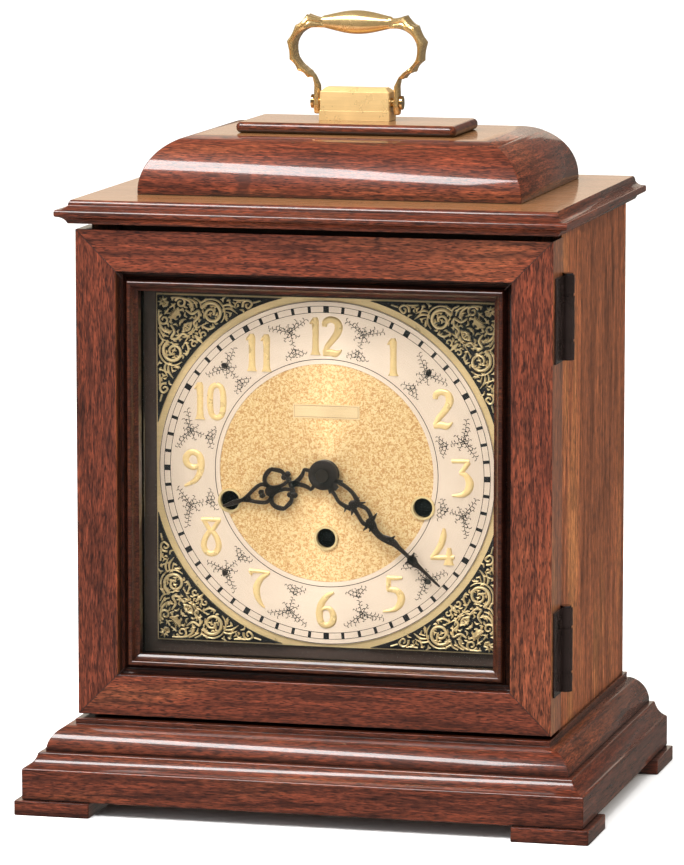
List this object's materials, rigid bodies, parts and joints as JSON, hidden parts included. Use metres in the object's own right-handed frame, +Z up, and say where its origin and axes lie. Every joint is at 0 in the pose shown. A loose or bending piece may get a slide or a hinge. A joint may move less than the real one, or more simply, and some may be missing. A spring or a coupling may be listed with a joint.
{
  "type": "mantel clock",
  "caption": "Bracket-style wooden mantel clock with a hinged glazed door, square brass dial, pierced hands, a caddy top and a folding brass handle.",
  "frame": {"origin": "middle of the footprint, on the surface that the feet stand on", "axes": "+X to the right of the dial, -Y out of the dial towards the viewer, +Z up"},
  "size_m": [0.248, 0.185, 0.3358],
  "materials": {
    "cherry_wood": "gloss lacquer",
    "dark_wood": "satin lacquer",
    "mat_board": "matt",
    "polished_brass": "polished and lacquered",
    "dial_gold": "satin",
    "dial_silver": "fine brushed",
    "antique_relief": "blackened ground, polished relief",
    "black_hands": "satin",
    "bronze_hinge": "gloss",
    "clear_glass": "clear",
    "plate_brass": "brushed",
    "steel": "ground",
    "cast_iron": "painted",
    "magnet": "matt"
  },
  "bodies": {
    "case": {"feet": "cherry_wood", "plinth": "cherry_wood", "base_moulding": "cherry_wood", "case_post_left": "cherry_wood", "case_post_right": "cherry_wood", "case_panel_left": "cherry_wood", "case_panel_right": "cherry_wood", "cornice": "cherry_wood", "hood": "cherry_wood", "handle_pedestal": "cherry_wood", "dial_mat": "mat_board", "back_panel": "cherry_wood", "back_panel_screws": "steel", "dial_plate": "dial_gold", "chapter_ring": "dial_silver", "dial_centre": "dial_gold", "corner_spandrels": "antique_relief", "winding_grommets": "polished_brass", "dial_rivets": "steel", "name_plaque": "dial_gold", "dial_posts": "plate_brass", "case_hinge_leaves": "bronze_hinge", "case_hinge_screws": "bronze_hinge", "hinge_pins": "bronze_hinge", "door_catch_magnet": "magnet", "handle_block": "polished_brass", "handle_pivot_rod": "polished_brass", "movement_front_plate": "plate_brass", "movement_back_plate": "plate_brass", "movement_pillars": "plate_brass", "escapement_platform": "steel", "chime_rod_block": "cast_iron", "chime_rods": "steel", "hammer_shaft": "steel"},
    "door": {"door_stile_left": "cherry_wood", "door_stile_right": "cherry_wood", "door_rail_top": "cherry_wood", "door_rail_bottom": "cherry_wood", "door_bead": "cherry_wood", "door_glass": "clear_glass", "glass_stops": "dark_wood", "door_hinge_leaves": "bronze_hinge", "door_hinge_screws": "bronze_hinge", "door_catch_plate": "steel"},
    "handle": {"handle_bail": "polished_brass"},
    "minute_arbor": {"centre_arbor": "steel", "centre_wheel": "plate_brass", "cannon_pinion": "plate_brass", "minute_hand": "black_hands", "hand_nut": "black_hands"},
    "hour_pipe": {"hour_wheel": "plate_brass", "hour_hand": "black_hands"},
    "minute_wheel": {"minute_wheel": "plate_brass"},
    "going_barrel": {"going_barrel": "plate_brass"},
    "strike_barrel": {"strike_barrel": "plate_brass"},
    "chime_barrel": {"chime_barrel": "plate_brass"},
    "going_winding_arbor": {"going_winding_arbor": "steel"},
    "strike_winding_arbor": {"strike_winding_arbor": "steel"},
    "chime_winding_arbor": {"chime_winding_arbor": "steel"},
    "hammers": {"chime_hammers": "steel"}
  },
  "joints": [
    {"name": "door_swing", "type": "hinge", "parent": "case", "child": "door", "pos_m": [0.1044, -0.047, 0.14365], "axis": [0, 0, 1], "range_deg": [0, 175]},
    {"name": "handle_fold", "type": "hinge", "parent": "case", "child": "handle", "pos_m": [0, 0.01025, 0.2965], "axis": [1, 0, 0], "range_deg": [-90, 90]},
    {"name": "minute_turn", "type": "hinge", "parent": "case", "child": "minute_arbor", "pos_m": [0, -0.048, 0.14365], "axis": [0, 1, 0], "continuous": true},
    {"name": "hour_turn", "type": "hinge", "parent": "case", "child": "hour_pipe", "pos_m": [0, -0.042, 0.14365], "axis": [0, 1, 0], "continuous": true},
    {"name": "minute_wheel_turn", "type": "hinge", "parent": "case", "child": "minute_wheel", "pos_m": [0.01188, -0.035, 0.15553], "axis": [0, 1, 0], "continuous": true},
    {"name": "going_barrel_turn", "type": "hinge", "parent": "case", "child": "going_barrel", "pos_m": [0, -0.018, 0.11595], "axis": [0, 1, 0], "continuous": true},
    {"name": "strike_barrel_turn", "type": "hinge", "parent": "case", "child": "strike_barrel", "pos_m": [-0.0421, -0.018, 0.13055], "axis": [0, 1, 0], "continuous": true},
    {"name": "chime_barrel_turn", "type": "hinge", "parent": "case", "child": "chime_barrel", "pos_m": [0.0421, -0.018, 0.13055], "axis": [0, 1, 0], "continuous": true},
    {"name": "going_winding", "type": "hinge", "parent": "case", "child": "going_winding_arbor", "pos_m": [0, -0.03, 0.11595], "axis": [0, 1, 0], "continuous": true},
    {"name": "strike_winding", "type": "hinge", "parent": "case", "child": "strike_winding_arbor", "pos_m": [-0.0421, -0.03, 0.13055], "axis": [0, 1, 0], "continuous": true},
    {"name": "chime_winding", "type": "hinge", "parent": "case", "child": "chime_winding_arbor", "pos_m": [0.0421, -0.03, 0.13055], "axis": [0, 1, 0], "continuous": true},
    {"name": "hammer_lift", "type": "hinge", "parent": "case", "child": "hammers", "pos_m": [-0.04, 0.045, 0.072], "axis": [0, 1, 0], "range_deg": [0, 20]}
  ],
  "couplings": [
    {"joint": "hour_turn", "follows": "minute_turn", "ratio": 0.083333},
    {"joint": "minute_wheel_turn", "follows": "minute_turn", "ratio": -0.33333},
    {"joint": "going_barrel_turn", "follows": "minute_turn", "ratio": -0.125}
  ]
}
